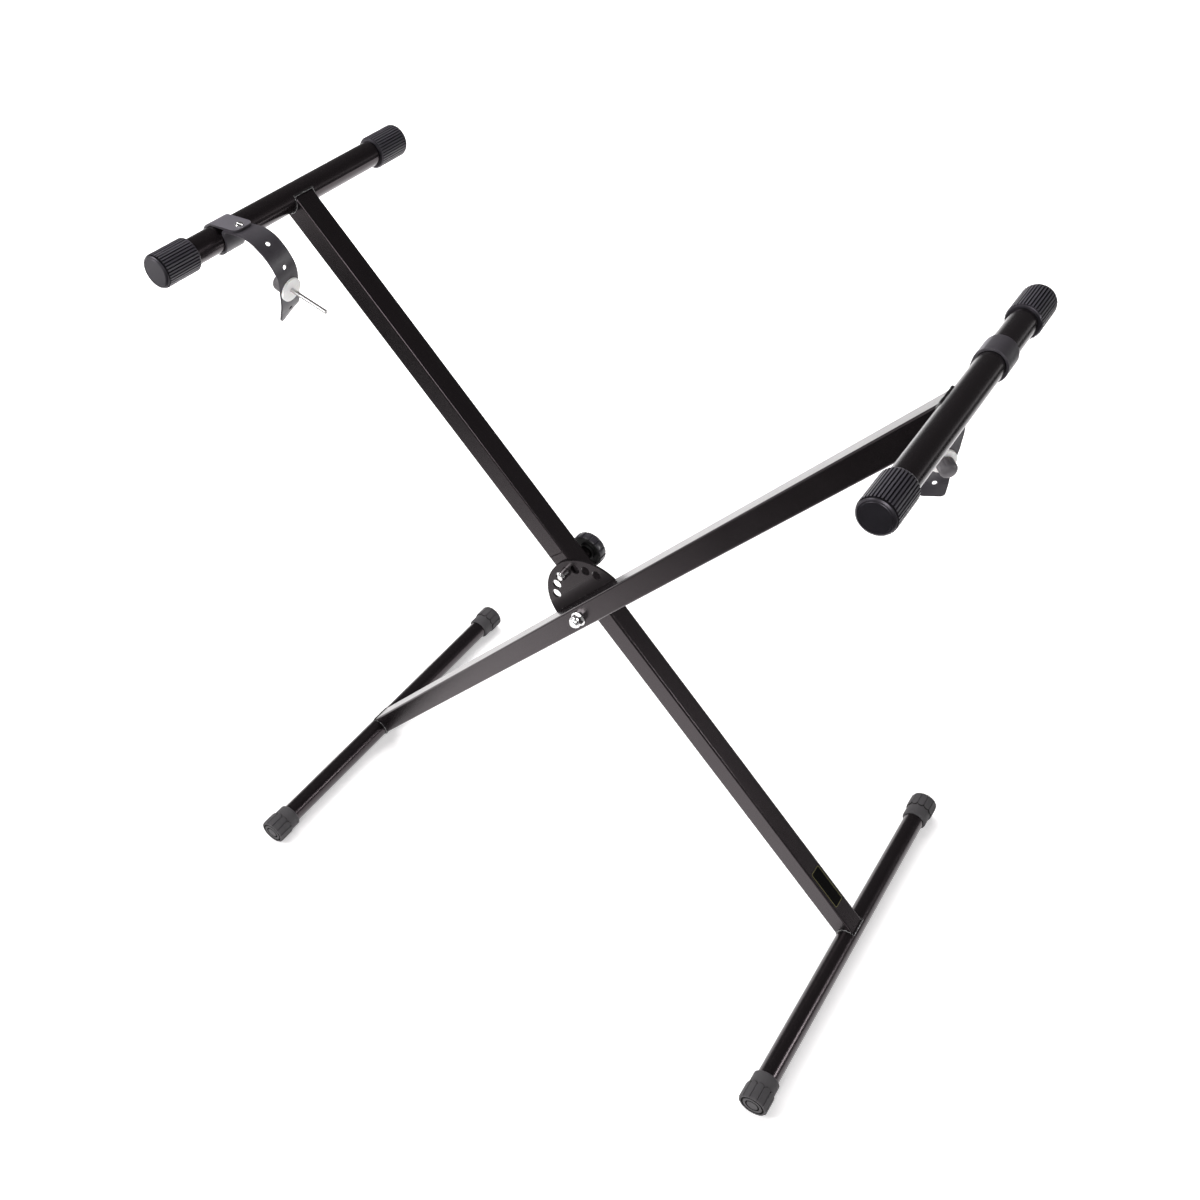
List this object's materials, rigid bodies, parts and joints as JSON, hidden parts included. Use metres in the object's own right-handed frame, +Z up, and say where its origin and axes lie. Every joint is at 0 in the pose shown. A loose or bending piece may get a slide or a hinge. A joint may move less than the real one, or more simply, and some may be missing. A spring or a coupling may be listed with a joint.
{
  "type": "keyboard stand",
  "caption": "Folding crossed-leg keyboard stand of square and round tube, with a sprung pin lock, ribbed end caps and strap clamps.",
  "frame": {"origin": "on the floor, under the middle of the stand as it stands open in the picture", "axes": "+X across the stand to the right, +Y along the round tubes to the rear, +Z up"},
  "size_m": [0.726, 0.484, 0.776],
  "materials": {
    "black_powder_coat": "satin black powder coat on steel tube",
    "grey_foot_rubber": "matte dark grey rubber",
    "black_grip_rubber": "satin black ribbed rubber",
    "zinc_plate": "bright zinc plate",
    "bright_steel": "bright drawn steel",
    "white_nylon": "white nylon",
    "black_knob_plastic": "moulded black plastic",
    "strap_rubber": "satin black rubber strip"
  },
  "bodies": {
    "front_frame": {"leg_front": "black_powder_coat", "base_tube_left": "black_powder_coat", "top_tube_right": "black_powder_coat", "lock_plate": "black_powder_coat", "foot_cap_left_front": "grey_foot_rubber", "foot_cap_left_rear": "grey_foot_rubber", "grip_cap_right_front": "black_grip_rubber", "grip_cap_right_rear": "black_grip_rubber", "pivot_bolt": "zinc_plate", "pivot_nut": "zinc_plate", "pivot_washer_front": "zinc_plate", "pivot_washer_rear": "zinc_plate", "pivot_sleeve_front": "bright_steel", "friction_washer": "white_nylon"},
    "rear_frame": {"leg_rear": "black_powder_coat", "base_tube_right": "black_powder_coat", "top_tube_left": "black_powder_coat", "foot_cap_right_front": "grey_foot_rubber", "foot_cap_right_rear": "grey_foot_rubber", "grip_cap_left_front": "black_grip_rubber", "grip_cap_left_rear": "black_grip_rubber", "pivot_sleeve_rear": "bright_steel", "lock_guide": "black_powder_coat", "lock_spring": "bright_steel"},
    "lock_unit": {"lock_pin": "zinc_plate", "lock_knob": "black_knob_plastic", "lock_retaining_ring": "bright_steel"},
    "strap_left_unit": {"strap_left": "strap_rubber", "strap_rivet_left": "zinc_plate", "strap_washer_left": "white_nylon"},
    "screw_left_unit": {"thumbscrew_rod_left": "bright_steel", "thumbscrew_head_left": "black_knob_plastic"},
    "strap_right_unit": {"strap_right": "strap_rubber", "strap_rivet_right": "zinc_plate", "strap_washer_right": "white_nylon"},
    "screw_right_unit": {"thumbscrew_rod_right": "bright_steel", "thumbscrew_head_right": "black_knob_plastic"}
  },
  "joints": [
    {"name": "fold", "type": "hinge", "parent": "front_frame", "child": "rear_frame", "pos_m": [0, 0, 0.38803], "axis": [0, 1, 0], "range_deg": [-52.2, 52.2]},
    {"name": "lock_pull", "type": "slide", "parent": "rear_frame", "child": "lock_unit", "axis": [0, 1, 0], "range_m": [0, 0.0155], "stiffness_N_per_m": 400, "springref_m": -0.01, "deforming": ["lock_spring"]},
    {"name": "strap_left_turn", "type": "hinge", "parent": "rear_frame", "child": "strap_left_unit", "pos_m": [-0.34646, -0.0842, 0.75955], "axis": [0, 1, 0], "continuous": true},
    {"name": "screw_left_turn", "type": "hinge", "parent": "strap_left_unit", "child": "screw_left_unit", "pos_m": [-0.28308, -0.077, 0.71878], "axis": [-0.9578, -0.0016, 0.2876], "continuous": true},
    {"name": "strap_right_turn", "type": "hinge", "parent": "front_frame", "child": "strap_right_unit", "pos_m": [0.34646, 0.064, 0.75955], "axis": [0, 1, 0], "continuous": true},
    {"name": "screw_right_turn", "type": "hinge", "parent": "strap_right_unit", "child": "screw_right_unit", "pos_m": [0.32428, 0.06261, 0.65394], "axis": [0.6905, -0.717, -0.0953], "continuous": true}
  ]
}
